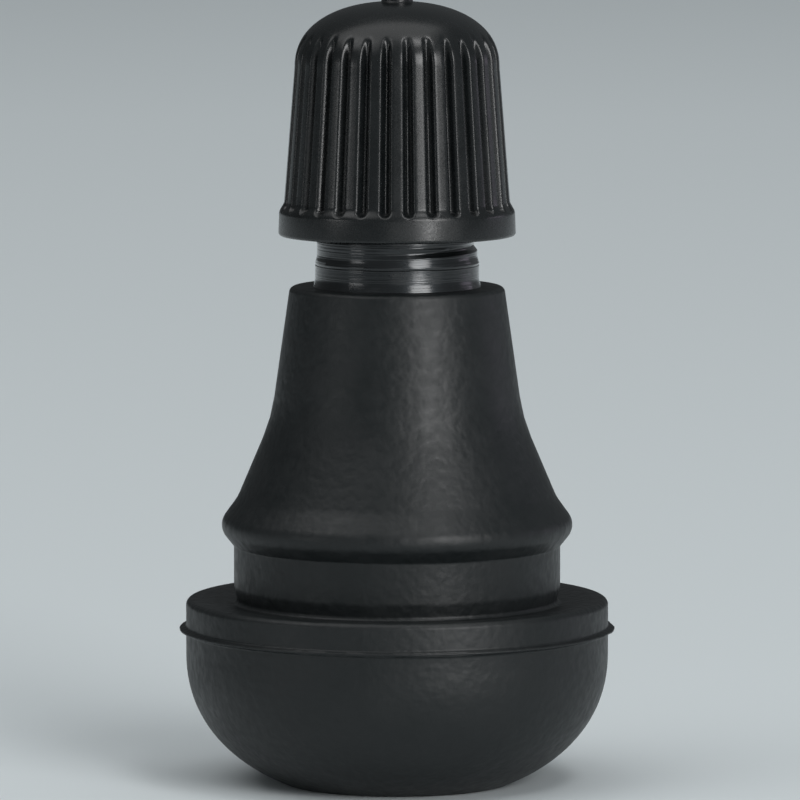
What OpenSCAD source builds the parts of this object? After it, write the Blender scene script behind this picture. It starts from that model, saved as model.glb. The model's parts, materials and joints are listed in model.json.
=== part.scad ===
// Snap-in tyre valve: a rubber body moulded round a threaded stem, a spring-loaded core
// screwed into the stem, and a fluted dust cap with a seal that closes on the stem's mouth.
// Millimetres. +Z runs up the stem, and the origin is the middle of the flat that the base stands on.
// Threads are drawn as plain cylinders at their outside diameter.

/* [Rubber base] */
// Diameter of the base
base_d = 20.34; // [18.5:0.02:23]
// Height of the base, up to the face that seats on the rim
base_h = 8.88; // [8.2:0.02:10.5]
// Diameter of the flat under the base
base_flat_d = 11; // [9:0.1:14]
// Height at which the rounded underside of the base meets its straight side
base_round_h = 6.3; // [5:0.1:6.4]
// Squareness of that rounded underside: 2 is a true ellipse
base_power = 2.2; // [2:0.05:2.5]
// Round on the top edge of the base
base_edge_round = 0.3; // [0.1:0.05:0.6]
// How far the moulding flash stands out of the base
flash_w = 0.38; // [0.1:0.02:0.6]
// Thickness of the moulding flash
flash_t = 0.24; // [0.15:0.01:0.4]
// Distance from the rim face down to the middle of the moulding flash
flash_drop = 1.45; // [0.9:0.05:1.5]
// Inside diameter of the flat ring that seals on the rim
seal_ring_d = 17.8; // [16.8:0.1:18.2]
// How far the face drops from the sealing ring to the groove
seal_ring_dish = 0.22; // [0.05:0.01:0.4]
// Diameter of the air hole under the base
air_hole_d = 4.4; // [3.6:0.1:5.2]

/* [Rubber sleeve] */
// Diameter of the groove that the rim sits in
groove_d = 15.72; // [14.4:0.02:16]
// Width of the rim groove
groove_w = 2.57; // [1.8:0.01:4]
// Outside diameter of the retaining lip above the groove
lip_d = 16.88; // [16.4:0.02:18]
// Round on the retaining lip
lip_round = 0.9; // [0.5:0.05:1.2]
// Slope of the lip's upper flank from upright, in degrees
lip_angle = 36; // [28:1:45]
// Slope of the lip's lower flank from upright, in degrees
lip_under_angle = 39; // [30:1:48]
// Diameter at the top of the lip
lip_top_d = 15.36; // [14:0.02:15.8]
// Slope of the shoulder above the lip from upright, in degrees
shoulder_angle = 23; // [16:1:30]
// Diameter at which the shoulder turns into the neck of the sleeve
shoulder_top_d = 12.1; // [11.4:0.1:13]
// Radius of that turn
shoulder_round = 8; // [3:0.5:10]
// Diameter of the sleeve at its top edge
sleeve_top_d = 10.3; // [9.6:0.1:11.2]
// Height of the rubber above the ground
rubber_h = 23.95; // [22:0.05:27]

/* [Stem] */
// Outside diameter of the cap thread
thread_d = 7.7; // [7.3:0.05:8.2]
// Pitch of the cap thread
thread_pitch = 0.794; // [0.6:0.001:1]
// How far the plain neck stands out of the thread, on the radius
neck_step = 0.09; // [0.02:0.01:0.2]
// Length of plain neck above the rubber, below the thread
neck_plain_h = 1.15; // [0.6:0.05:1.6]
// Height of the taper from the plain neck to the thread
neck_taper_h = 0.3; // [0.1:0.05:0.5]
// How far the neck flares at its foot, where it stands on the rubber
neck_foot = 0.1; // [0.05:0.01:0.2]
// Height of that flare
neck_foot_h = 0.35; // [0.1:0.05:0.5]
// Length of neck held by the rubber
neck_sunk_h = 6; // [4:0.1:8]
// Diameter of the shank inside the rubber
shank_d = 7; // [6.4:0.1:7.3]
// Number of anchoring grooves round the shank
anchor_count = 3; // [1:1:4]
// Width of an anchoring groove, and of the land beside it
anchor_w = 1; // [0.6:0.05:1.2]
// Depth of an anchoring groove
anchor_depth = 0.4; // [0.2:0.05:0.6]
// Diameter of the stem's foot
foot_d = 9.4; // [8.4:0.1:10.6]
// Thickness of the stem's foot
foot_t = 1.2; // [0.8:0.1:1.8]
// Diameter of the tail below the foot
tail_d = 6; // [5.4:0.1:6.6]
// Length of the tail below the foot
tail_h = 1; // [0.6:0.1:1.4]
// Height of the stem's lower end above the ground
tail_z = 1; // [0.6:0.1:1.6]
// Diameter of the air way through the stem
air_way_d = 3.2; // [2.6:0.1:3.4]
// Bevel on the stem's mouth and lower end
stem_bevel = 0.35; // [0.1:0.05:0.5]

/* [Valve core] */
// Outside diameter of the core's thread
core_thread_d = 5.2; // [5:0.05:5.5]
// Running gap between the core and its seat, on the radius
core_gap = 0.05; // [0.03:0.01:0.08]
// Depth of the plug below the stem's mouth
plug_sunk = 0.6; // [0.3:0.05:1]
// Height of the plug's bar, which the core key fits over
bar_h = 2; // [1.4:0.1:2.6]
// Width of the plug's bar
bar_w = 2.3; // [2.15:0.05:2.6]
// Length of the plug's threaded body
plug_body_h = 4.6; // [4.2:0.1:5.4]
// Thickness of the plug's rolled rim, which holds the barrel
plug_rim_t = 0.35; // [0.2:0.05:0.5]
// Wall of the barrel
barrel_wall = 0.4; // [0.3:0.05:0.45]
// Thickness of the barrel's flanges
flange_t = 0.6; // [0.4:0.05:0.8]
// How far the barrel's flanges stand out of its wall
flange_w = 0.24; // [0.15:0.01:0.3]
// Height of the barrel gasket
gasket_h = 2.2; // [1.6:0.1:3]
// How far the seat in the stem is smaller than the thread at its top, on the radius
seat_step = 0.2; // [0.1:0.05:0.25]
// How far the seat narrows over the gasket's height, on the radius
seat_narrowing = 0.25; // [0.15:0.05:0.3]
// Length of the barrel below the gasket
nose_h = 2.4; // [1.8:0.1:3.4]
// Diameter of the pin
pin_d = 1.4; // [1.2:0.05:1.5]
// Depth of the pin's tip below the stem's mouth
pin_sunk = 0.25; // [0.1:0.05:0.4]
// How far the pin can be pushed in
pin_travel = 1.2; // [0.8:0.1:1.6]
// Thickness of the spring's wire
wire_d = 0.28; // [0.2:0.02:0.32]
// Number of turns of the spring
spring_turns = 8; // [5:1:10]
// Thickness of the rubber washer in the cup
cup_seal_t = 1.1; // [0.8:0.1:1.5]
// Wall of the cup
cup_wall = 0.25; // [0.15:0.05:0.3]

/* [Cap] */
// Height of the cap, without the gate mark
cap_h = 11.23; // [10.4:0.01:12.5]
// Diameter of the cap's lower rim
rim_d = 11.4; // [11.2:0.1:12.6]
// Height of the cap's lower rim
rim_h = 1.35; // [0.9:0.05:1.8]
// Taper of the cap's rim from bottom to top, on the radius
rim_taper = 0.07; // [0:0.01:0.15]
// Height over which the rim runs out into the fluted side
rim_blend_h = 0.6; // [0.3:0.05:0.8]
// Diameter of the fluted side where it meets the rim
side_d = 10.84; // [10.5:0.02:11.1]
// Diameter of the fluted side where the dome begins
side_top_d = 9.84; // [9.7:0.02:10.4]
// Height of the dome
dome_h = 3.18; // [2.6:0.02:3.6]
// Squareness of the dome: 2 is a true ellipse
dome_power = 2.25; // [2:0.05:2.6]
// Number of flutes
flute_count = 30; // [18:1:36]
// Width of a flute
flute_w = 0.46; // [0.3:0.02:0.6]
// Depth of a flute
flute_depth = 0.3; // [0.15:0.01:0.36]
// Diameter of the moulding gate mark on the dome
gate_d = 1.5; // [0.8:0.1:2]
// Height of the moulding gate mark
gate_h = 0.5; // [0.2:0.05:0.8]
// Thickness of the crown above the seal
crown_t = 3.63; // [3:0.01:3.9]
// Diameter of the pocket in the crown
pocket_d = 4.2; // [3:0.1:5]
// Height of the pocket in the crown
pocket_h = 1.9; // [1:0.1:2.2]
// Gap between the cap's bore and the thread, on the radius
cap_gap = 0.1; // [0.06:0.01:0.16]
// Lead-in bevel at the mouth of the cap
cap_lead = 0.4; // [0.2:0.05:0.6]
// Thickness of the cap's seal
seal_t = 1; // [0.7:0.05:1.4]
// Diameter of the hole in the cap's seal
seal_hole_d = 3; // [2.4:0.1:3.8]
// Bare neck between the rubber and the cap
neck_h = 2.45; // [2:0.05:3.5]

/* [Hidden] */
$fn = 96;
arc_steps = 6;
dome_steps = 14;
base_steps = 12;
wire_sides = 8;
rings_per_turn = 14;
over = 1;

// Rubber body, from the ground up
base_r = base_d / 2;
base_flat_r = base_flat_d / 2;
groove_r = groove_d / 2;
groove_top_z = base_h + groove_w;
lip_corner_r = lip_d / 2 + lip_round * (1 / cos(lip_angle) - 1);
lip_z = groove_top_z + (lip_corner_r - groove_r) / tan(lip_under_angle);
lip_top_z = lip_z + (lip_corner_r - lip_top_d / 2) / tan(lip_angle);
shoulder_top_z = lip_top_z + (lip_top_d - shoulder_top_d) / 2 / tan(shoulder_angle);
flash_z = base_h - flash_drop;
flash_half = flash_t / 2;
flash_edge = 0.4 * flash_half;
groove_round = 0.2;
lip_foot_round = 2;
sleeve_edge_round = 0.3;

// Cap, from its lower edge up
cap_z = rubber_h + neck_h;
rim_top_z = cap_z + rim_h;
dome_z = cap_z + cap_h - dome_h;
ceiling_z = cap_z + cap_h - crown_t;
mouth_z = ceiling_z - seal_t;
cap_bore_r = thread_d / 2 + cap_gap;
blend_low_z = rim_top_z - rim_blend_h / 2;
blend_top_z = rim_top_z + rim_blend_h / 2;
side_lean = atan((side_d - side_top_d) / 2 / (dome_z - blend_top_z));
flute_r = (flute_w * flute_w / 4 + flute_depth * flute_depth) / (2 * flute_depth);
rim_edge_round = 0.15;
blend_round = 0.8;
gate_round = 0.2;
pocket_round = 0.5;

// Stem, from its lower end up
neck_r = thread_d / 2 + neck_step;
thread_z = rubber_h + neck_plain_h;
neck_low_z = rubber_h - neck_sunk_h;
foot_z = tail_z + tail_h;
foot_top_z = foot_z + foot_t;
anchor_z = foot_top_z + anchor_w;
foot_round = 0.2;
chamber_spare = 1;
chamber_taper = 0.8;
chamber_gap = 0.3;

// Radii of the core, from its pin outwards
guide_gap = 0.12;
spring_gap = 0.1;
nose_step = 0.15;
nose_gap = 0.22;
cup_gap = 0.1;
pin_r = pin_d / 2;
guide_r = pin_r + guide_gap;
spring_r = pin_r + spring_gap + wire_d / 2;
barrel_bore_r = spring_r + wire_d / 2 + spring_gap;
collar_r = barrel_bore_r - core_gap;
barrel_r = barrel_bore_r + barrel_wall;
flange_r = barrel_r + flange_w;
nose_r = barrel_r - nose_step;
nose_bore_r = pin_r + nose_gap;
plug_bore_r = barrel_bore_r + spring_gap;
core_bore_r = core_thread_d / 2 + core_gap;
seat_top_r = core_bore_r - seat_step;
seat_low_r = seat_top_r - seat_narrowing;
cup_bore_r = nose_r + cup_gap;
cup_r = cup_bore_r + cup_wall;
chamber_r = max(seat_low_r, cup_r + chamber_gap);

// Depths of the core below the stem's mouth, from the plug down
plug_web = 0.15;
plug_lead = 0.3;
plug_bevel = 0.2;
bar_inset = 0.35;
bar_round = 0.3;
ledge_t = 0.8;
rivet_t = 0.45;
pin_collar_t = 0.5;
spring_play = 0.02;
bar_low = plug_sunk + bar_h;
plug_low = bar_low + plug_body_h;
flange_low = plug_low - plug_rim_t - core_gap;
flange_top = flange_low - flange_t;
collar_top = plug_low + core_gap;
gasket_top = collar_top + flange_t;
gasket_low = gasket_top + gasket_h;
nose_low = gasket_low + nose_h;
ledge = nose_low - ledge_t;
cup_seal_low = nose_low + cup_seal_t;
cup_low = cup_seal_low + cup_wall;
pin_low = cup_low + rivet_t;
pin_collar_top = bar_low + 2 * plug_web;
pin_collar_low = pin_collar_top + pin_collar_t;
spring_top = pin_collar_low + spring_play;
chamber_low = pin_low + pin_travel + chamber_spare;

// Points along the arc that rounds the corner b between a and c. The round is held to half the
// shorter leg.
function unit(v) = v / norm(v);
function corner(a, b, c, round) =
    let(u = unit(a - b), v = unit(c - b),
        half = acos(max(-1, min(1, u * v))) / 2,
        reach = min(round / tan(half), norm(a - b) / 2, norm(c - b) / 2),
        radius = reach * tan(half),
        middle = b + unit(u + v) * radius / sin(half),
        from = b + u * reach - middle,
        to = b + v * reach - middle,
        sweep = atan2(from[0] * to[1] - from[1] * to[0], from * to))
    [for (i = [0 : arc_steps]) let(t = sweep * i / arc_steps)
        middle + [from[0] * cos(t) - from[1] * sin(t), from[0] * sin(t) + from[1] * cos(t)]];

// Outline through points of [radius, height, round], with each rounded corner as an arc
function outline(path) =
    [for (i = [0 : len(path) - 1])
        let(n = len(path), p = path[i], here = [p[0], p[1]])
        each len(p) < 3 ? [here] :
            corner([path[(i + n - 1) % n][0], path[(i + n - 1) % n][1]], here,
                   [path[(i + 1) % n][0], path[(i + 1) % n][1]], p[2])];

module turned(path) {
    rotate_extrude() polygon(outline(path));
}

// The same, for a path of [radius, depth] below the stem's mouth
module turned_down(path) {
    translate([0, 0, mouth_z]) rotate_extrude()
        polygon(outline([for (p = path) len(p) < 3 ? [p[0], -p[1]] : [p[0], -p[1], p[2]]]));
}

// Outside of the stem, from its lower end on the axis to its mouth on the axis
stem_outline = concat(
    [[0, tail_z], [tail_d / 2 - stem_bevel, tail_z], [tail_d / 2, tail_z + stem_bevel],
     [tail_d / 2, foot_z], [foot_d / 2, foot_z, foot_round], [foot_d / 2, foot_top_z, foot_round],
     [shank_d / 2, foot_top_z]],
    [for (i = [0 : anchor_count - 1], p = [[0, 0], [anchor_depth, 0], [anchor_depth, 1], [0, 1]])
        [shank_d / 2 - p[0], anchor_z + (2 * i + p[1]) * anchor_w]],
    [[shank_d / 2, neck_low_z - (neck_r - shank_d / 2)], [neck_r, neck_low_z], [neck_r, rubber_h],
     [neck_r + neck_foot, rubber_h], [neck_r, rubber_h + neck_foot_h], [neck_r, thread_z],
     [thread_d / 2, thread_z + neck_taper_h], [thread_d / 2, mouth_z - stem_bevel],
     [thread_d / 2 - stem_bevel, mouth_z], [0, mouth_z]]);

// Rounded underside of the base, a stretch of a squarish ellipse from the ground flat to the straight side
function base_underside() =
    let(k = 2 / base_power, start = acos(pow(base_flat_r / base_r, 1 / k)),
        rise = base_round_h / pow(sin(start), k))
    [for (i = [0 : base_steps]) let(t = start * (1 - i / base_steps))
        [base_r * pow(cos(t), k), base_round_h - rise * pow(sin(t), k)]];

module rubber_body() {
    color("#2b2f31") difference() {
        turned(concat(
            [[0, 0]], base_underside(),
            [[base_r, flash_z - flash_half], [base_r + flash_w, flash_z - flash_edge],
             [base_r + flash_w, flash_z + flash_edge], [base_r, flash_z + flash_half],
             [base_r, base_h, base_edge_round], [seal_ring_d / 2, base_h],
             [groove_r, base_h - seal_ring_dish, groove_round],
             [groove_r, groove_top_z], [lip_corner_r, lip_z, lip_round],
             [lip_top_d / 2, lip_top_z, lip_foot_round],
             [shoulder_top_d / 2, shoulder_top_z, shoulder_round],
             [sleeve_top_d / 2, rubber_h, sleeve_edge_round], [0, rubber_h]]));
        turned(stem_outline);
        translate([0, 0, -over]) cylinder(h = tail_z + 2 * over, d = air_hole_d);
    }
}

module stem() {
    color("#45494c") difference() {
        turned(stem_outline);
        turned_down([
            [0, -over], [core_bore_r + stem_bevel + over, -over], [core_bore_r, stem_bevel],
            [core_bore_r, plug_low], [seat_top_r, gasket_top], [seat_low_r, gasket_low],
            [chamber_r, gasket_low], [chamber_r, chamber_low],
            [air_way_d / 2, chamber_low + chamber_taper], [air_way_d / 2, mouth_z], [0, mouth_z]]);
    }
}

// Threaded plug with a bar across its top, and a rolled rim below that holds the barrel's flange
module core_plug() {
    body_r = core_thread_d / 2;
    recess_r = flange_r + core_gap;
    rim_hole_r = barrel_r + core_gap;
    bar_r = body_r - bar_inset;
    color("#b9974f") difference() {
        union() {
            turned_down([[0, bar_low], [body_r - plug_lead, bar_low], [body_r, bar_low + plug_lead],
                         [body_r, plug_low - plug_bevel], [body_r - plug_bevel, plug_low],
                         [0, plug_low]]);
            intersection() {
                turned_down([[0, plug_sunk], [bar_r, plug_sunk, bar_round], [bar_r, bar_low + over],
                             [0, bar_low + over]]);
                translate([-body_r, -bar_w / 2, mouth_z - bar_low - over])
                    cube([2 * body_r, bar_w, bar_h + over]);
            }
        }
        turned_down([[0, plug_sunk - over], [guide_r, plug_sunk - over], [guide_r, bar_low + plug_web],
                     [plug_bore_r, bar_low + plug_web], [plug_bore_r, flange_top - core_gap],
                     [recess_r, flange_top - core_gap], [recess_r, flange_low + core_gap],
                     [rim_hole_r, flange_low + core_gap], [rim_hole_r, plug_low + over],
                     [0, plug_low + over]]);
        for (side = [-1, 1])
            translate([-body_r, side > 0 ? bar_w / 2 : -bar_w / 2 - body_r, mouth_z - bar_low - plug_web])
                cube([2 * body_r, body_r, bar_h + over]);
    }
}

// Tube with a flange held in the plug, a waist that carries the gasket and a nose that closes on the cup
module core_barrel() {
    tip_h = 0.3;
    tip_w = 0.12;
    color("#b9974f")
        turned_down([
            [barrel_bore_r, flange_top], [flange_r, flange_top], [flange_r, flange_low],
            [barrel_r, flange_low], [barrel_r, collar_top], [flange_r, collar_top],
            [flange_r, gasket_top], [barrel_r, gasket_top], [barrel_r, gasket_low],
            [nose_r, gasket_low], [nose_r, nose_low - tip_h], [nose_r - tip_w, nose_low],
            [nose_bore_r, nose_low], [nose_bore_r, ledge], [barrel_bore_r, ledge]]);
}

module core_gasket() {
    color("#8f2b26")
        turned_down([[barrel_r, gasket_top], [seat_top_r, gasket_top], [seat_low_r, gasket_low],
                     [barrel_r, gasket_low]]);
}

module core_pin() {
    head_step = 0.08;
    head_h = 0.6;
    rivet_step = 0.35;
    head_r = pin_r + head_step;
    head_low = pin_sunk + head_h;
    rivet_r = pin_r + rivet_step;
    end_round = 0.25;
    bevel = 0.1;
    color("#c9b077")
        turned_down([
            [0, pin_sunk], [head_r, pin_sunk, end_round], [head_r, head_low], [pin_r, head_low + bevel],
            [pin_r, pin_collar_top - bevel], [collar_r, pin_collar_top], [collar_r, pin_collar_low],
            [pin_r, pin_collar_low], [pin_r, cup_low], [rivet_r, cup_low], [rivet_r, pin_low, end_round],
            [0, pin_low]]);
}

// Height of the spring's wire at a number of turns from its foot: closed end turns, open ones between
function wire_height(turn) =
    let(low = mouth_z - ledge + wire_d / 2 + spring_play,
        high = mouth_z - spring_top - wire_d / 2,
        closed = wire_d * 1.08)
    lookup(turn, [[0, low], [1, low + closed], [spring_turns - 1, high - closed], [spring_turns, high]]);

function wire_ring(turn) =
    [for (s = [0 : wire_sides - 1])
        let(a = 360 * s / wire_sides, r = spring_r + wire_d / 2 * cos(a))
        [r * cos(360 * turn), r * sin(360 * turn), wire_height(turn) + wire_d / 2 * sin(a)]];

module core_spring() {
    rings = spring_turns * rings_per_turn;
    points = [for (k = [0 : rings]) each wire_ring(k / rings_per_turn)];
    start = [for (s = [0 : wire_sides - 1]) s];
    end = [for (s = [0 : wire_sides - 1]) rings * wire_sides + wire_sides - 1 - s];
    skin = [for (k = [0 : rings - 1], s = [0 : wire_sides - 1])
        let(a = k * wire_sides + s, b = k * wire_sides + (s + 1) % wire_sides)
        each [[a, a + wire_sides, b], [b, a + wire_sides, b + wire_sides]]];
    color("#9aa0a4") polyhedron(points = points, faces = concat([start, end], skin));
}

module core_cup() {
    lip_drop = 0.25;
    lip = nose_low + lip_drop;
    foot_corner = 0.2;
    color("#c9b077")
        turned_down([
            [pin_r, cup_seal_low], [cup_bore_r, cup_seal_low], [cup_bore_r, lip], [cup_r, lip],
            [cup_r, cup_low, foot_corner], [pin_r, cup_low]]);
}

module cup_seal() {
    color("#1d1f20")
        turned_down([[pin_r, nose_low], [cup_bore_r, nose_low], [cup_bore_r, cup_seal_low],
                     [pin_r, cup_seal_low]]);
}

function dome() =
    [for (i = [0 : dome_steps]) let(t = 90 * i / dome_steps)
        [side_top_d / 2 * pow(cos(t), 2 / dome_power), dome_z + dome_h * pow(sin(t), 2 / dome_power)]];

// One flute, leaning with the side of the cap, from a round end above the rim to past the dome
module flute() {
    run = dome_z - blend_top_z + dome_h;
    translate([side_d / 2 - flute_depth + flute_r, 0, blend_top_z]) rotate([0, -side_lean, 0]) {
        cylinder(h = run, r = flute_r);
        sphere(r = flute_r);
        translate([0, -flute_w / 2, 0]) cube([over, flute_w, run]);
        rotate([0, 90, 0]) cylinder(h = over, d = flute_w);
    }
}

module cap() {
    gate_top_z = cap_z + cap_h + gate_h;
    color("#24282a") difference() {
        union() {
            difference() {
                turned(concat([[0, cap_z], [rim_d / 2, cap_z, rim_edge_round],
                               [rim_d / 2 - rim_taper, blend_low_z, blend_round],
                               [side_d / 2, blend_top_z, blend_round]], dome()));
                for (i = [0 : flute_count - 1]) rotate([0, 0, 360 * i / flute_count]) flute();
            }
            turned([[0, dome_z], [gate_d / 2, dome_z], [gate_d / 2, gate_top_z, gate_round],
                    [0, gate_top_z]]);
        }
        turned([[0, cap_z - over], [cap_bore_r + cap_lead + over, cap_z - over],
                [cap_bore_r, cap_z + cap_lead], [cap_bore_r, ceiling_z], [pocket_d / 2, ceiling_z],
                [pocket_d / 2, ceiling_z + pocket_h, pocket_round], [0, ceiling_z + pocket_h]]);
    }
}

module cap_seal() {
    seal_r = cap_bore_r - core_gap;
    color("#1d1f20")
        turned([[seal_hole_d / 2, mouth_z], [seal_r, mouth_z], [seal_r, ceiling_z],
                [seal_hole_d / 2, ceiling_z]]);
}

rubber_body();
stem();
core_plug();
core_barrel();
core_gasket();
core_pin();
core_spring();
core_cup();
cup_seal();
cap();
cap_seal();
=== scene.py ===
"""Snap-in tyre valve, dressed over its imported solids.

The valve stands on its rubber base with +Z up the stem, and the origin is the middle of the flat under
the base. Sizes in the classes are millimetres, and the meshes are in metres.
"""
import json
import logging
import math
from collections.abc import Callable, Mapping, Sequence
from dataclasses import dataclass
from enum import Enum
from typing import Any

import bmesh
import bpy
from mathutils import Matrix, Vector, noise

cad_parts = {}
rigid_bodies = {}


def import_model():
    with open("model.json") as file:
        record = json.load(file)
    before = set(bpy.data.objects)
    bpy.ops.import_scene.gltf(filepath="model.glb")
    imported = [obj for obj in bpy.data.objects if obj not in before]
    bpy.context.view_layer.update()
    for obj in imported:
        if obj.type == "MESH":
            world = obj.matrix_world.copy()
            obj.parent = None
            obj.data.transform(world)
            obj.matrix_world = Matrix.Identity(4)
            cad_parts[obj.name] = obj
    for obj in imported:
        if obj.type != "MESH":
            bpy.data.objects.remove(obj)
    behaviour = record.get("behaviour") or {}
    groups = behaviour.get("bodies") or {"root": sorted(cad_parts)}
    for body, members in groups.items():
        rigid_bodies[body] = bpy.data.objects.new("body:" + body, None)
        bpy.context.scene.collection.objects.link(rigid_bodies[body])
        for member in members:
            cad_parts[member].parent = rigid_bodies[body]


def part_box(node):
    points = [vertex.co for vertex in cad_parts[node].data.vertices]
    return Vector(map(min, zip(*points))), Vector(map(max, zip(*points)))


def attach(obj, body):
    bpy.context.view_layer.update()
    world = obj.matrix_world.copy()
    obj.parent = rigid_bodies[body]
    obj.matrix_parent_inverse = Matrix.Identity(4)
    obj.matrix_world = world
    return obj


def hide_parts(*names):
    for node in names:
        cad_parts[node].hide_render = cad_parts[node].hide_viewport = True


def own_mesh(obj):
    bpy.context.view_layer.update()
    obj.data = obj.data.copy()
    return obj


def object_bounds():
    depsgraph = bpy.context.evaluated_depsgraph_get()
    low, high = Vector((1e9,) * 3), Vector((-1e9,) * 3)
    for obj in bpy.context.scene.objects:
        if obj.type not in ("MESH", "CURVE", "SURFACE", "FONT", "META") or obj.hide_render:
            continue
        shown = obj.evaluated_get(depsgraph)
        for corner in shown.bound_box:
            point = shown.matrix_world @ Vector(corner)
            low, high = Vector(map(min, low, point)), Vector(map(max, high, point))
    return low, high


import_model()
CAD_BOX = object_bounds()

LOG = logging.getLogger("tyre_valve")
MM = 0.001
WELD = 0.0005 * MM
ROUND_STEP = math.radians(11)
COLUMNS = 144


class Body(Enum):
    """Bodies of the valve that move by themselves."""

    VALVE = "valve"
    PIN = "pin"
    CAP = "cap"
    CAP_SEAL = "cap_seal"


class Slot(Enum):
    """Material slots of the record."""

    BODY_RUBBER = "body_rubber"
    STEM_METAL = "stem_metal"
    CORE_BRASS = "core_brass"
    GASKET_RUBBER = "gasket_rubber"
    SEAL_RUBBER = "seal_rubber"
    SPRING_STEEL = "spring_steel"
    CAP_PLASTIC = "cap_plastic"


class Side(Enum):
    """Which side of a cut is kept."""

    ABOVE = 1
    BELOW = 2


def low_z(node: str) -> float:
    """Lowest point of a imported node, in millimetres."""
    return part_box(node)[0].z / MM


def top_z(node: str) -> float:
    """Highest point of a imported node, in millimetres."""
    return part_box(node)[1].z / MM


# Outlines

@dataclass(frozen=True)
class Corner:
    """One corner of an outline that is turned about the stem's axis, in millimetres.

    Args:
        r: distance from the axis.
        z: height above the ground.
        round: radius of the round on this corner.
    """

    r: float
    z: float
    round: float = 0.0


def arc(before: Vector, at: Vector, after: Vector, radius: float) -> list[Vector]:
    """Points along the arc that rounds a corner, held to half of its shorter leg.

    Args:
        before: the corner before this one.
        at: this corner.
        after: the corner after this one.
        radius: wanted radius of the round.

    Returns:
        The points of the arc, in order.
    """
    back, onward = before - at, after - at
    u, v = back.normalized(), onward.normalized()
    half = math.acos(max(-1.0, min(1.0, u.dot(v)))) / 2
    reach = min(radius / math.tan(half), back.length / 2, onward.length / 2)
    radius = reach * math.tan(half)
    middle = at + (u + v).normalized() * radius / math.sin(half)
    start, end = at + u * reach - middle, at + v * reach - middle
    sweep = math.copysign(math.pi - 2 * half, start.x * end.y - start.y * end.x)
    steps = max(2, math.ceil(abs(sweep) / ROUND_STEP))
    turns = [sweep * i / steps for i in range(steps + 1)]
    return [middle + Vector((start.x * math.cos(t) - start.y * math.sin(t),
                             start.x * math.sin(t) + start.y * math.cos(t))) for t in turns]


def rounded(path: Sequence[Corner], closed: bool = False) -> list[Vector]:
    """Outline through corners, with each rounded corner as an arc.

    Args:
        path: the corners in order.
        closed: whether the last corner joins the first.

    Returns:
        Points of (radius, height) in millimetres.
    """
    points = []
    for i, corner in enumerate(path):
        at = Vector((corner.r, corner.z))
        inner = closed or 0 < i < len(path) - 1
        if corner.round and inner:
            before, after = path[i - 1], path[(i + 1) % len(path)]
            points += arc(Vector((before.r, before.z)), at, Vector((after.r, after.z)), corner.round)
        else:
            points.append(at)
    return points


# Bench tools

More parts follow.
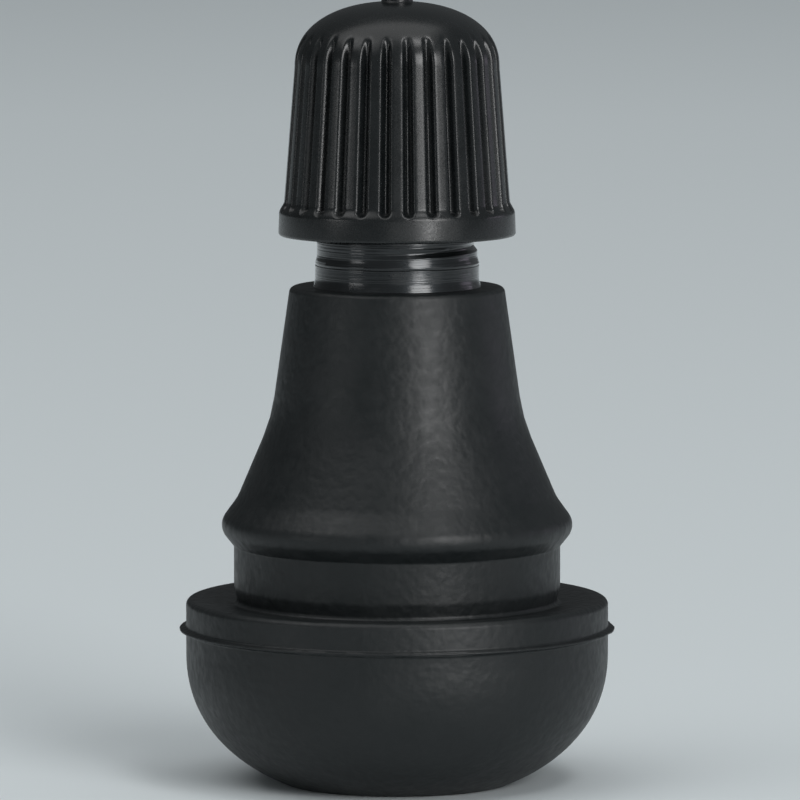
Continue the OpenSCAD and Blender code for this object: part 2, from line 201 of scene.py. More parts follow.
class Workpiece:
    """A mesh on the bench, shaped with edit-mode operators."""

    def __init__(self, name: str) -> None:
        """Put an empty mesh of that name on the bench, in edit mode.

        Args:
            name: name of the piece.
        """
        if bpy.context.mode != "OBJECT":
            bpy.ops.object.mode_set(mode="OBJECT")
        bpy.ops.object.select_all(action="DESELECT")
        bpy.ops.mesh.primitive_circle_add(vertices=3, radius=MM)
        self.object = bpy.context.object
        self.object.name = name
        self.object.data.name = name
        bpy.ops.object.mode_set(mode="EDIT")
        bpy.ops.mesh.delete(type="VERT")

    def trace(self, points: Sequence[Vector], closed: bool = False, angle: float = 0.0) -> None:
        """Draw an outline in a plane through the axis, by extruding one vertex along it.

        Args:
            points: points of (radius, height) in millimetres.
            closed: whether the last point is joined to the first.
            angle: angle of the plane from +X, in radians.
        """
        places = [Vector((p.x * math.cos(angle), p.x * math.sin(angle), p.y)) * MM for p in points]
        bpy.ops.mesh.select_all(action="DESELECT")
        bpy.ops.mesh.primitive_circle_add(vertices=3, radius=MM)
        bpy.ops.mesh.merge(type="CENTER")
        bpy.ops.transform.translate(value=places[0])
        for here, there in zip(places, places[1:]):
            bpy.ops.mesh.extrude_vertices_move(TRANSFORM_OT_translate={"value": there - here})
        bpy.ops.mesh.select_linked()
        if closed:
            self.select_verts(lambda v: v.select and len(v.link_edges) == 1)
            bpy.ops.mesh.edge_face_add()
            bpy.ops.mesh.select_linked()

    def select_verts(self, wanted: Callable[[bmesh.types.BMVert], bool]) -> None:
        """Select the vertices that pass a test, and nothing else.

        Args:
            wanted: the test.
        """
        mesh = bmesh.from_edit_mesh(self.object.data)
        chosen = [wanted(v) for v in mesh.verts]
        bpy.ops.mesh.select_all(action="DESELECT")
        for v, choice in zip(mesh.verts, chosen):
            v.select = choice
        mesh.select_flush_mode()
        bmesh.update_edit_mesh(self.object.data)

    def spin(self, steps: int, angle: float = math.tau, copies: bool = False) -> None:
        """Spin what is selected about the axis.

        Args:
            steps: number of steps.
            angle: whole angle, in radians.
            copies: whether separate copies are made, and not a skin.
        """
        bpy.ops.mesh.spin(steps=steps, angle=angle, dupli=copies, center=(0, 0, 0), axis=(0, 0, 1))

    def weld(self) -> None:
        """Merge the vertices that lie on one another."""
        bpy.ops.mesh.select_all(action="SELECT")
        bpy.ops.mesh.remove_doubles(threshold=WELD)

    def screw(self, pitch: float, turns: int, steps: int) -> None:
        """Wind the outline into a right-handed screw.

        Args:
            pitch: rise of one turn, in millimetres.
            turns: number of turns.
            steps: steps in one turn.
        """
        bpy.ops.object.mode_set(mode="OBJECT")
        wind = self.object.modifiers.new("wind", "SCREW")
        wind.angle = math.tau
        wind.screw_offset = pitch * MM
        wind.iterations = turns
        wind.steps = wind.render_steps = steps
        wind.use_merge_vertices = True
        wind.merge_threshold = WELD
        bpy.ops.object.modifier_apply(modifier=wind.name)
        bpy.ops.object.mode_set(mode="EDIT")
        self.weld()

    def cut(self, z: float, keep: Side) -> None:
        """Cut the piece level and throw one side away.

        Args:
            z: height of the cut, in millimetres.
            keep: the side that stays.
        """
        bpy.ops.mesh.select_all(action="SELECT")
        bpy.ops.mesh.bisect(plane_co=(0, 0, z * MM), plane_no=(0, 0, 1), threshold=WELD,
                            clear_inner=keep is Side.ABOVE, clear_outer=keep is Side.BELOW)

    def press(self, new_r: Callable[[float, float, float], float]) -> None:
        """Move each vertex towards or away from the axis, as a tool pressed in all round would.

        Args:
            new_r: the new radius, from the old radius, the angle in radians and the height.
        """
        mesh = bmesh.from_edit_mesh(self.object.data)
        for v in mesh.verts:
            r = math.hypot(v.co.x, v.co.y)
            if r > WELD:
                share = new_r(r / MM, math.atan2(v.co.y, v.co.x), v.co.z / MM) * MM / r
                v.co.x *= share
                v.co.y *= share
        bmesh.update_edit_mesh(self.object.data)

    def lift(self, new_z: Callable[[float, float], float]) -> None:
        """Move each vertex up or down.

        Args:
            new_z: the new height, from the angle in radians and the old height.
        """
        mesh = bmesh.from_edit_mesh(self.object.data)
        for v in mesh.verts:
            v.co.z = new_z(math.atan2(v.co.y, v.co.x), v.co.z / MM) * MM
        bmesh.update_edit_mesh(self.object.data)

    def bridge(self, low: float, high: float) -> None:
        """Bridge the two open edges that lie between two heights.

        Args:
            low: lower height, in millimetres.
            high: upper height, in millimetres.
        """
        bpy.ops.mesh.select_all(action="DESELECT")
        mesh = bmesh.from_edit_mesh(self.object.data)
        for edge in mesh.edges:
            if edge.is_boundary and all(low <= v.co.z / MM <= high for v in edge.verts):
                edge.select = True
        bmesh.update_edit_mesh(self.object.data)
        bpy.ops.mesh.bridge_edge_loops()

    def take(self, other: "Workpiece") -> None:
        """Join another workpiece into this one.

        Args:
            other: the workpiece that is used up.
        """
        bpy.ops.object.mode_set(mode="OBJECT")
        bpy.ops.object.select_all(action="DESELECT")
        other.object.select_set(True)
        self.object.select_set(True)
        bpy.context.view_layer.objects.active = self.object
        bpy.ops.object.join()
        bpy.ops.object.mode_set(mode="EDIT")

    def close_up(self, smooth_angle: float = 35.0) -> bpy.types.Object:
        """Clean the mesh, turn its faces outwards and take it off the bench.

        Args:
            smooth_angle: edges sharper than this stay sharp, in degrees.

        Returns:
            The finished object.
        """
        self.weld()
        bpy.ops.mesh.delete_loose()
        bpy.ops.mesh.select_all(action="SELECT")
        bpy.ops.mesh.normals_make_consistent(inside=False)
        bpy.ops.object.mode_set(mode="OBJECT")
        bpy.ops.object.select_all(action="DESELECT")
        self.object.select_set(True)
        bpy.context.view_layer.objects.active = self.object
        bpy.ops.object.shade_smooth_by_angle(angle=math.radians(smooth_angle))
        return self.object


def turned(name: str, path: Sequence[Corner], closed: bool = True) -> Workpiece:
    """Turn an outline about the axis.

    Args:
        name: name of the piece.
        path: corners of the outline.
        closed: whether the last corner joins the first.

    Returns:
        The workpiece, still on the bench.
    """
    piece = Workpiece(name)
    piece.trace(rounded(path, closed), closed)
    piece.spin(COLUMNS)
    piece.weld()
    return piece


@dataclass(frozen=True)
class Thread:
    """A right-handed screw thread, in millimetres.

    Args:
        pitch: rise of one turn.
        crest_r: radius of the crests.
        root_r: radius of the roots, outside the crests on an inner thread.
        crest_w: width of a crest.
        root_w: width of a root.
        root_z: height of a root on the +X side.
        edge_round: round on the corners of the thread.
    """

    pitch: float
    crest_r: float
    root_r: float
    crest_w: float
    root_w: float
    root_z: float
    edge_round: float = 0.05

    def turn(self, angle: float, z: float) -> float:
        """Turns along the nearest root from its crossing of the +X side at root_z.

        Args:
            angle: angle of a point from +X, in radians.
            z: its height.

        Returns:
            The turns, which grow up the screw.
        """
        share = angle / math.tau
        return round((z - self.root_z) / self.pitch - share) + share

    def wind(self, name: str, low: float, high: float,
             held: Callable[[float, float, float], float]) -> Workpiece:
        """Wind the thread's skin between two heights.

        Args:
            name: name of the workpiece.
            low: lower end, in millimetres.
            high: upper end, in millimetres.
            held: the radius that a radius at an angle and a height is held to, which shapes the ends.

        Returns:
            An open tube, on the bench.
        """
        start = self.root_z + (math.floor((low - self.root_z) / self.pitch) - 1) * self.pitch
        middle = start + self.pitch / 2
        end = start + self.pitch
        form = [Corner(self.root_r, start),
                Corner(self.root_r, start + self.root_w / 2, self.edge_round),
                Corner(self.crest_r, middle - self.crest_w / 2, self.edge_round),
                Corner(self.crest_r, middle + self.crest_w / 2, self.edge_round),
                Corner(self.root_r, end - self.root_w / 2, self.edge_round),
                Corner(self.root_r, end)]
        tube = Workpiece(name)
        tube.trace(rounded(form))
        tube.screw(self.pitch, math.ceil((high - start) / self.pitch) + 1, COLUMNS)
        tube.cut(low, Side.ABOVE)
        tube.cut(high, Side.BELOW)
        tube.press(held)
        return tube


# Materials

Inputs = Mapping[str | int, Any]


def linear(colour: str) -> tuple[float, float, float, float]:
    """Linear colour of an sRGB hex value.

    Args:
        colour: a value such as "#2b2f31".

    Returns:
        Red, green, blue and alpha.
    """
    parts = [int(colour[i:i + 2], 16) / 255 for i in (1, 3, 5)]
    red, green, blue = [c / 12.92 if c <= 0.04045 else ((c + 0.055) / 1.055) ** 2.4 for c in parts]
    return red, green, blue, 1.0


def per_mm(size: float) -> float:
    """Texture scale at which one feature is this many millimetres across."""
    return 1 / (size * MM)


def add_node(tree: bpy.types.NodeTree, kind: str, inputs: Inputs | None = None,
             **settings: Any) -> bpy.types.Node:
    """Add a node with its settings, values and links.

    Args:
        tree: the node tree.
        kind: type of the node.
        inputs: value of each input socket, or the output socket that is linked to it.
        settings: attributes of the node.

    Returns:
        The node.
    """
    node = tree.nodes.new(kind)
    for name, value in settings.items():
        setattr(node, name, value)
    for key, value in (inputs or {}).items():
        if isinstance(value, bpy.types.NodeSocket):
            tree.links.new(value, node.inputs[key])
        else:
            node.inputs[key].default_value = value
    return node


def new_material(name: str) -> tuple[bpy.types.Material, bpy.types.NodeTree]:
    """Make a material with an empty node tree.

    Args:
        name: name of the material.

    Returns:
        The material and its tree.
    """
    material = bpy.data.materials.new(name)
    material.use_nodes = True
    material.node_tree.nodes.clear()
    return material, material.node_tree


@dataclass(frozen=True)
class Moulded:
    """Rubber or plastic pressed in a steel mould.

    The mould's fine pits break the highlights into a mottle, and the skin is duller in soft clouds.

    Args:
        name: name of the material.
        colour: colour of the bare skin.
        cloudy: colour where a cloud is thickest.
        pit: width of a pit of the skin, in millimetres.
        pit_depth: depth of a pit, in millimetres.
        cloud: width of a cloud, in millimetres.
        smooth: roughness of the smoothest skin.
        dull: roughness of the dullest skin.
        ior: index of refraction.
    """

    name: str
    colour: str
    cloudy: str
    pit: float
    pit_depth: float
    cloud: float
    smooth: float
    dull: float
    ior: float

    def material(self) -> bpy.types.Material:
        """Make the material.

        Returns:
            The material.
        """
        material, tree = new_material(self.name)
        place = add_node(tree, "ShaderNodeTexCoord").outputs["Object"]
        clouds = add_node(tree, "ShaderNodeTexNoise", {
            "Vector": place, "Scale": per_mm(self.cloud), "Detail": 4.0, "Roughness": 0.6})
        pits = add_node(tree, "ShaderNodeTexNoise", {
            "Vector": place, "Scale": per_mm(self.pit), "Detail": 1.0, "Roughness": 0.4})
        spread = add_node(tree, "ShaderNodeMapRange", {
            "Value": clouds.outputs["Fac"], "From Min": 0.35, "From Max": 0.65})
        skin = add_node(tree, "ShaderNodeMix", {
            0: spread.outputs["Result"], 6: linear(self.colour), 7: linear(self.cloudy)},
            data_type="RGBA")
        both = add_node(tree, "ShaderNodeMath", {
            0: clouds.outputs["Fac"], 1: pits.outputs["Fac"]}, operation="ADD")
        dullness = add_node(tree, "ShaderNodeMapRange", {
            "Value": both.outputs["Value"], "From Min": 0.7, "From Max": 1.3,
            "To Min": self.smooth, "To Max": self.dull})
        relief = add_node(tree, "ShaderNodeBump", {
            "Height": pits.outputs["Fac"], "Distance": self.pit_depth * MM})
        shader = add_node(tree, "ShaderNodeBsdfPrincipled", {
            "Base Color": skin.outputs[2], "Roughness": dullness.outputs["Result"],
            "Normal": relief.outputs["Normal"], "IOR": self.ior})
        add_node(tree, "ShaderNodeOutputMaterial", {"Surface": shader.outputs["BSDF"]})
        return material


@dataclass(frozen=True)
class TurnedMetal:
    """Metal turned on a lathe, with fine rings from the tool and a thin stain in clouds.

    Args:
        name: name of the material.
        colour: colour of the clean metal.
        stain: colour of the stain.
        ring: spacing of the tool's rings, in millimetres.
        ring_depth: depth of a ring, in millimetres.
        cloud: width of a cloud of stain, in millimetres.
        smooth: roughness of the clean metal.
        dull: roughness of the stain.
        coat: share of the metal that is under a clear lacquer.
        coat_dull: roughness of that lacquer.
    """

    name: str
    colour: str
    stain: str
    ring: float
    ring_depth: float
    cloud: float
    smooth: float
    dull: float
    coat: float = 0.0
    coat_dull: float = 0.14

    def material(self) -> bpy.types.Material:
        """Make the material.

        Returns:
            The material.
        """
        material, tree = new_material(self.name)
        place = add_node(tree, "ShaderNodeTexCoord").outputs["Object"]
        height = add_node(tree, "ShaderNodeSeparateXYZ", {"Vector": place}).outputs["Z"]
        rings = add_node(tree, "ShaderNodeTexNoise", {
            "W": height, "Scale": per_mm(self.ring), "Detail": 2.0}, noise_dimensions="1D")
        clouds = add_node(tree, "ShaderNodeTexNoise", {
            "Vector": place, "Scale": per_mm(self.cloud), "Detail": 5.0, "Roughness": 0.65})
        amount = add_node(tree, "ShaderNodeMapRange", {
            "Value": clouds.outputs["Fac"], "From Min": 0.4, "From Max": 0.7})
        skin = add_node(tree, "ShaderNodeMix", {
            0: amount.outputs["Result"], 6: linear(self.colour), 7: linear(self.stain)},
            data_type="RGBA")
        dullness = add_node(tree, "ShaderNodeMapRange", {
            "Value": clouds.outputs["Fac"], "From Min": 0.35, "From Max": 0.7,
            "To Min": self.smooth, "To Max": self.dull})
        relief = add_node(tree, "ShaderNodeBump", {
            "Height": rings.outputs["Fac"], "Distance": self.ring_depth * MM})
        shader = add_node(tree, "ShaderNodeBsdfPrincipled", {
            "Base Color": skin.outputs[2], "Metallic": 1.0, "Roughness": dullness.outputs["Result"],
            "Normal": relief.outputs["Normal"], "Coat Weight": self.coat, "Coat Roughness": self.coat_dull,
            "Coat Normal": relief.outputs["Normal"]})
        add_node(tree, "ShaderNodeOutputMaterial", {"Surface": shader.outputs["BSDF"]})
        return material


# Satin black rubber out of a blasted mould: broad soft highlights with a fine mottle, a faint wax bloom
BODY_RUBBER = Moulded("satin_moulded_rubber", "#0f1314", "#141718", pit=0.42, pit_depth=0.03, cloud=2.4,
                      smooth=0.39, dull=0.51, ior=1.42)
# Black polypropylene out of a polished mould: narrower highlights on a nearly even skin
CAP_PLASTIC = Moulded("black_moulded_polypropylene", "#0b0e0f", "#101314", pit=0.12, pit_depth=0.0015,
                      cloud=1.6, smooth=0.22, dull=0.32, ior=1.47)
# Red nitrile rubber of the core's gasket, smooth and slightly waxy
GASKET_RUBBER = Moulded("red_nitrile_rubber", "#7d211c", "#8c2f28", pit=0.15, pit_depth=0.002, cloud=0.8,
                        smooth=0.4, dull=0.5, ior=1.52)
# Black nitrile rubber of the washers, cut from sheet, so duller than the moulded body
SEAL_RUBBER = Moulded("black_nitrile_rubber", "#1a1b1c", "#222324", pit=0.1, pit_depth=0.003, cloud=0.9,
                      smooth=0.5, dull=0.62, ior=1.52)
# Black plating over brass under a thin lacquer: one sharp streak on a body that mirrors dimly
STEM_PLATING = TurnedMetal("black_plated_brass", "#222527", "#1b1e20", ring=0.08, ring_depth=0.012,
                           cloud=0.9, smooth=0.3, dull=0.4, coat=1.0)
# Yellow brass turned from bar, bare and a little tarnished
CORE_BRASS = TurnedMetal("turned_yellow_brass", "#d8bd78", "#a98a4c", ring=0.05, ring_depth=0.001,
                         cloud=0.7, smooth=0.18, dull=0.34)
# Stainless spring wire, drawn, so its highlights run along the wire
SPRING_STEEL = TurnedMetal("drawn_spring_steel", "#b9bcbe", "#8f9294", ring=0.04, ring_depth=0.0006,
                           cloud=0.5, smooth=0.22, dull=0.32)


def dress(piece: bpy.types.Object, finish: Moulded | TurnedMetal, body: Body) -> None:
    """Give a finished piece its material and its body, in place of the node of its name.

    Args:
        piece: the piece, named after the node that it replaces with "_skin" added.
        finish: its finish.
        body: the body that it moves with.
    """
    made = bpy.data.materials.get(finish.name) or finish.material()
    piece.data.materials.clear()
    piece.data.materials.append(made)
    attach(piece, body.value)
    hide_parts(piece.name.removesuffix("_skin"))
    LOG.info("%s: %d faces on %s", piece.name, len(piece.data.polygons), body.value)


# Sub-assemblies

@dataclass
class Stem:
    """Threaded metal tube that the rubber is moulded round, sizes in millimetres."""

    neck_r: float = 3.94
    neck_foot: float = 0.1
    neck_foot_h: float = 0.35
    neck_foot_round: float = 0.5
    neck_sunk: float = 6.0
    neck_taper_h: float = 0.3
    thread_low: float = 1.15
    # Ring that the tool left where the neck ends
    tool_mark: float = 0.03
    # Turns over which the thread grows to its full depth
    run_out: tuple[float, float] = (-0.3, 0.15)
    shank_r: float = 3.5
    anchor_count: int = 3
    anchor_w: float = 1.0
    anchor_depth: float = 0.4
    foot_r: float = 4.7
    foot_t: float = 1.2
    foot_round: float = 0.2
    tail_r: float = 3.0
    tail_h: float = 1.0
    bevel: float = 0.35
    # Strip that joins the turned tube to the thread
    land: float = 0.2
    air_way_r: float = 1.6
    chamber_r: float = 2.2
    chamber_taper: float = 0.8
    chamber_depth: float = 16.45
    seat_low: tuple[float, float] = (2.2, 10.05)
    seat_top: tuple[float, float] = (2.45, 7.85)
    bore_r: float = 2.65
    bore_depth: float = 7.2
    thread: Thread = Thread(pitch=0.794, crest_r=3.85, root_r=3.42, crest_w=0.3, root_w=0.08, root_z=25.95)

    def __post_init__(self) -> None:
        """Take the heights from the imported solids."""
        self.low = low_z("stem")
        self.mouth = top_z("stem")
        self.rubber_top = top_z("rubber_body")
        self.thread_z = self.rubber_top + self.thread_low

    def buried(self) -> list[Corner]:
        """Outline inside the rubber.

        Returns:
            Corners from the rubber's top down to the stem's lower end.
        """
        foot_z = self.low + self.tail_h
        foot_top = foot_z + self.foot_t
        neck_low = self.rubber_top - self.neck_sunk
        grooves = []
        for i in reversed(range(self.anchor_count)):
            z = foot_top + (2 * i + 1) * self.anchor_w
            floor_r = self.shank_r - self.anchor_depth
            grooves += [Corner(self.shank_r, z + self.anchor_w), Corner(floor_r, z + self.anchor_w),
                        Corner(floor_r, z), Corner(self.shank_r, z)]
        return [Corner(self.neck_r, self.rubber_top), Corner(self.neck_r, neck_low),
                Corner(self.shank_r, neck_low - (self.neck_r - self.shank_r)), *grooves,
                Corner(self.shank_r, foot_top), Corner(self.foot_r, foot_top, self.foot_round),
                Corner(self.foot_r, foot_z, self.foot_round), Corner(self.tail_r, foot_z),
                Corner(self.tail_r, self.low + self.bevel), Corner(self.tail_r - self.bevel, self.low)]

    def build(self) -> None:
        """Turn the tube, wind its cap thread and bridge the two."""
        land = self.land
        neck_top = self.thread_z - land / 2
        mouth_r = self.thread.crest_r - self.bevel
        outside = [Corner(self.neck_r - self.tool_mark, neck_top),
                   Corner(self.neck_r, neck_top - self.tool_mark),
                   Corner(self.neck_r, self.rubber_top + self.neck_foot_h, self.neck_foot_round),
                   Corner(self.neck_r + self.neck_foot, self.rubber_top), *self.buried()]
        inside = [Corner(self.air_way_r, self.low),
                  Corner(self.air_way_r, self.mouth - self.chamber_depth - self.chamber_taper),
                  Corner(self.chamber_r, self.mouth - self.chamber_depth),
                  Corner(self.seat_low[0], self.mouth - self.seat_low[1]),
                  Corner(self.seat_top[0], self.mouth - self.seat_top[1]),
                  Corner(self.bore_r, self.mouth - self.bore_depth),
                  Corner(self.bore_r, self.mouth - self.bevel),
                  Corner(self.bore_r + self.bevel, self.mouth),
                  Corner(mouth_r - land, self.mouth)]
        tube = turned("stem_skin", outside + inside, closed=False)

        def ends(r: float, angle: float, z: float) -> float:
            """Run the root out over the thread's first turn, and bevel the thread at the mouth.

            Args:
                r: radius of a vertex.
                angle: its angle, in radians.
                z: its height.

            Returns:
                Its new radius.
            """
            start, full = self.run_out
            depth = min(1.0, max(0.0, (self.thread.turn(angle, z) - start) / (full - start)))
            cut = self.thread.crest_r - (self.thread.crest_r - r) * depth
            taper = (self.neck_r - self.thread.crest_r) * (z - self.thread_z) / self.neck_taper_h
            return min(max(cut, self.neck_r - taper), mouth_r + self.mouth - z)

        tube.take(self.thread.wind("stem_thread", self.thread_z, self.mouth, ends))
        tube.bridge(neck_top - land, self.thread_z + land)
        tube.bridge(self.mouth - land, self.mouth + land)
        dress(tube.close_up(), STEM_PLATING, Body.VALVE)


@dataclass
class RubberBody:
    """Moulded rubber with its base, rim groove, lip and sleeve, sizes in millimetres."""

    stem: Stem
    base_r: float = 10.17
    base_h: float = 8.88
    base_flat_r: float = 5.5
    base_round_h: float = 6.3
    base_power: float = 2.2
    base_edge_round: float = 0.3
    base_steps: int = 24
    flash_w: float = 0.38
    flash_t: float = 0.24
    flash_drop: float = 1.45
    flash_edge_share: float = 0.4
    # How far the torn edge strays, the least share of that, and its broad and fine waves
    flash_wander: float = 0.12
    least_wander: float = 0.5
    wander_waves: tuple[float, float] = (5.0, 23.0)
    fine_wave: float = 0.6
    flash_worn: float = 0.16
    seal_ring_r: float = 9.4
    seal_ring_dish: float = 0.24
    # How far the groove draws in at its foot, and up to what height
    undercut: float = 0.2
    undercut_h: float = 0.6
    air_hole_r: float = 2.2
    air_hole_round: float = 0.3
    groove_r: float = 7.86
    groove_w: float = 2.57
    groove_round: float = 0.2
    lip_r: float = 8.44
    lip_round: float = 0.9
    lip_angle: float = math.radians(36)
    lip_under_angle: float = math.radians(39)
    lip_top_r: float = 7.68
    lip_foot_round: float = 2.0
    shoulder_angle: float = math.radians(23)
    shoulder_top_r: float = 6.05
    shoulder_round: float = 8.0
    sleeve_top_r: float = 5.15
    sleeve_edge_round: float = 0.3
    smooth_angle: float = 50.0

    def underside(self) -> list[Corner]:
        """Rounded underside of the base, a stretch of a squarish ellipse.

        Returns:
            Corners from the flat on the ground up to the straight side.
        """
        power = 2 / self.base_power
        start = math.acos((self.base_flat_r / self.base_r) ** (1 / power))
        rise = self.base_round_h / math.sin(start) ** power
        turns = [start * (1 - i / self.base_steps) for i in range(self.base_steps + 1)]
        return [Corner(self.base_r * math.cos(t) ** power, self.base_round_h - rise * math.sin(t) ** power)
                for t in turns]

    def flash(self, r: float, angle: float, z: float) -> float:
        """Let the edge of the moulding flash wander, as torn rubber does, and wear it back in front.

        Args:
            r: radius of a vertex.
            angle: its angle, in radians.
            z: its height.

        Returns:
            Its new radius.
        """
        out = r - self.base_r
        if out < self.flash_w / 2 or abs(z - self.base_h + self.flash_drop) > self.flash_t:
            return r
        around = Vector((math.cos(angle), math.sin(angle), 0.0))
        broad, fine = (noise.noise(around * waves) for waves in self.wander_waves)
        wander = broad + self.fine_wave * fine
        worn = self.flash_worn * max(0.0, -math.sin(angle)) ** 2
        return r - self.flash_wander * min(1.0, self.least_wander + abs(wander)) - worn

    def build(self) -> None:
        """Turn the body round the stem, and tear the flash."""
        groove_top = self.base_h + self.groove_w
        lip_corner = self.lip_r + self.lip_round * (1 / math.cos(self.lip_angle) - 1)
        lip_z = groove_top + (lip_corner - self.groove_r) / math.tan(self.lip_under_angle)
        lip_top = lip_z + (lip_corner - self.lip_top_r) / math.tan(self.lip_angle)
        shoulder_top = lip_top + (self.lip_top_r - self.shoulder_top_r) / math.tan(self.shoulder_angle)
        flash_z = self.base_h - self.flash_drop
        half = self.flash_t / 2
        edge = self.flash_edge_share * half
        path = [Corner(self.air_hole_r, 0.0, self.air_hole_round), *self.underside(),
                Corner(self.base_r, flash_z - half, half),
                Corner(self.base_r + self.flash_w, flash_z - edge, edge),
                Corner(self.base_r + self.flash_w, flash_z + edge, edge),
                Corner(self.base_r, flash_z + half, half),
                Corner(self.base_r, self.base_h, self.base_edge_round),
                Corner(self.seal_ring_r, self.base_h, self.groove_round),
                Corner(self.groove_r - self.undercut, self.base_h - self.seal_ring_dish, self.groove_round),
                Corner(self.groove_r, self.base_h + self.undercut_h, self.lip_round),
                Corner(self.groove_r, groove_top, self.groove_round),
                Corner(lip_corner, lip_z, self.lip_round),
                Corner(self.lip_top_r, lip_top, self.lip_foot_round),
                Corner(self.shoulder_top_r, shoulder_top, self.shoulder_round),
                Corner(self.sleeve_top_r, self.stem.rubber_top, self.sleeve_edge_round),
                *self.stem.buried(), Corner(self.air_hole_r, self.stem.low)]
        body = turned("rubber_body_skin", path)
        body.press(self.flash)
        dress(body.close_up(self.smooth_angle), BODY_RUBBER, Body.VALVE)


@dataclass
class ValveCore:
    """Sprung core that is screwed into the stem, with radii and depths below its mouth in millimetres."""

    stem: Stem
    edge_round: float = 0.08
    plug_low: float = 7.2
    plug_bevel: float = 0.2
    plug_lead: float = 0.15
    # Strip that joins the bored body to the thread
    plug_land: float = 0.1
    plug_top: float = 2.75
    plug_bore_r: float = 1.28
    recess_r: float = 1.87
    recess: tuple[float, float] = (6.15, 6.85)
    rim_hole_r: float = 1.63
    bar_top: float = 0.6
    bar_low: float = 2.82
    bar_r: float = 2.25
    bar_half: float = 1.15
    bar_round: float = 0.3
    guide_r: float = 0.82
    barrel_r: float = 1.58
    barrel_bore_r: float = 1.18
    flange_r: float = 1.82
    flange: tuple[float, float] = (6.2, 6.8)
    collar: tuple[float, float] = (7.25, 7.85)
    gasket_low: float = 10.05
    gasket_r: tuple[float, float] = (2.45, 2.2)
    nose_r: float = 1.43
    nose_bore_r: float = 0.92
    nose_low: float = 12.45
    nose_bevel: tuple[float, float] = (0.12, 0.3)
    ledge: float = 11.65
    pin_r: float = 0.7
    pin_top: float = 0.25
    head_r: float = 0.78
    head_low: float = 0.85
    pin_bevel: float = 0.1
    pin_round: float = 0.25
    pin_collar_r: float = 1.13
    pin_collar: tuple[float, float] = (2.9, 3.4)
    rivet_r: float = 1.05
    rivet_low: float = 14.25
    cup_r: float = 1.78
    cup_bore_r: float = 1.53
    cup_lip: float = 12.7
    cup_seal_low: float = 13.55
    cup_low: float = 13.8
    cup_round: float = 0.2
    wire_r: float = 0.14
    wire_sides: int = 12
    coil_r: float = 0.94
    coil_turns: int = 8
    coil_steps: int = 48
    coil_gap: float = 0.02
    closed_pitch: float = 0.302
    pin_travel: float = 1.2
    thread: Thread = Thread(pitch=0.706, crest_r=2.6, root_r=2.24, crest_w=0.2, root_w=0.1, root_z=0.0)

    def at(self, r: float, depth: float, edge: float = 0.0) -> Corner:
        """Corner at a depth below the stem's mouth."""
        return Corner(r, self.stem.mouth - depth, edge)

    def plug(self) -> None:
        """Wind the plug's thread, bridge it to the bored body, and weld the key's bar across the top."""
        lead, gap = self.plug_lead, self.plug_land
        top, low = self.plug_top + lead, self.plug_low - self.plug_bevel
        crest = self.thread.crest_r
        body = turned("core_plug_skin", [
            self.at(crest, low + gap / 2), self.at(crest - self.plug_bevel, self.plug_low),
            self.at(self.rim_hole_r, self.plug_low), self.at(self.rim_hole_r, self.recess[1]),
            self.at(self.recess_r, self.recess[1]), self.at(self.recess_r, self.recess[0]),
            self.at(self.plug_bore_r, self.recess[0]), self.at(self.plug_bore_r, self.plug_top),
            self.at(crest - lead, self.plug_top), self.at(crest, top - gap / 2)], closed=False)
        mouth = self.stem.mouth
        body.take(self.thread.wind("core_plug_thread", mouth - low, mouth - top, lambda r, angle, z: r))
        body.bridge(mouth - low - gap, mouth - low + gap / 4)
        body.bridge(mouth - top - gap / 4, mouth - top + gap)
        plug = body.close_up()

        bar = turned("core_plug_bar", [
            self.at(self.guide_r, self.bar_top, self.edge_round),
            self.at(self.bar_r, self.bar_top, self.bar_round),
            self.at(self.bar_r, self.bar_low), self.at(self.guide_r, self.bar_low)])
        for side in (-1, 1):
            bpy.ops.mesh.select_all(action="SELECT")
            bpy.ops.mesh.bisect(plane_co=(0, side * self.bar_half * MM, 0), plane_no=(0, side, 0),
                                use_fill=True, clear_outer=True, threshold=WELD)
        tool = bar.close_up()
        union = plug.modifiers.new("bar", "BOOLEAN")
        union.operation = "UNION"
        union.object = tool
        bpy.context.view_layer.objects.active = plug
        bpy.ops.object.modifier_apply(modifier=union.name)
        bpy.data.objects.remove(tool)
        dress(plug, CORE_BRASS, Body.VALVE)

    def spring(self) -> None:
        """Wind the spring at an even pitch and press its end turns shut."""
        low = self.stem.mouth - self.ledge + self.wire_r + self.coil_gap
        high = self.stem.mouth - self.pin_collar[1] - self.wire_r - self.coil_gap
        pitch = (high - low) / self.coil_turns
        turns = [math.tau * i / self.wire_sides for i in range(self.wire_sides)]
        wire = Workpiece("core_spring_skin")
        wire.trace([Vector((self.coil_r + self.wire_r * math.cos(t), low + self.wire_r * math.sin(t)))
                    for t in turns], closed=True)
        wire.screw(pitch, self.coil_turns, self.coil_steps)
        bpy.ops.mesh.fill_holes(sides=0)
        open_pitch = (high - low - 2 * self.closed_pitch) / (self.coil_turns - 2)

        def settle(angle: float, z: float) -> float:
            """Height of a point of the wire after the end turns are pressed shut.

            Args:
                angle: its angle, in radians.
                z: its height on the even coil.

            Returns:
                Its new height.
            """
            share = angle / math.tau
            turn = round((z - low) / pitch - share) + share
            last = self.coil_turns - 1
            opened = min(max(turn - 1, 0.0), last - 1.0)
            closed = min(turn, 1.0) + max(turn - last, 0.0)
            return z - turn * pitch + opened * open_pitch + closed * self.closed_pitch

        wire.lift(settle)
        spring = wire.close_up()
        dress(spring, SPRING_STEEL, Body.VALVE)
        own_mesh(spring)

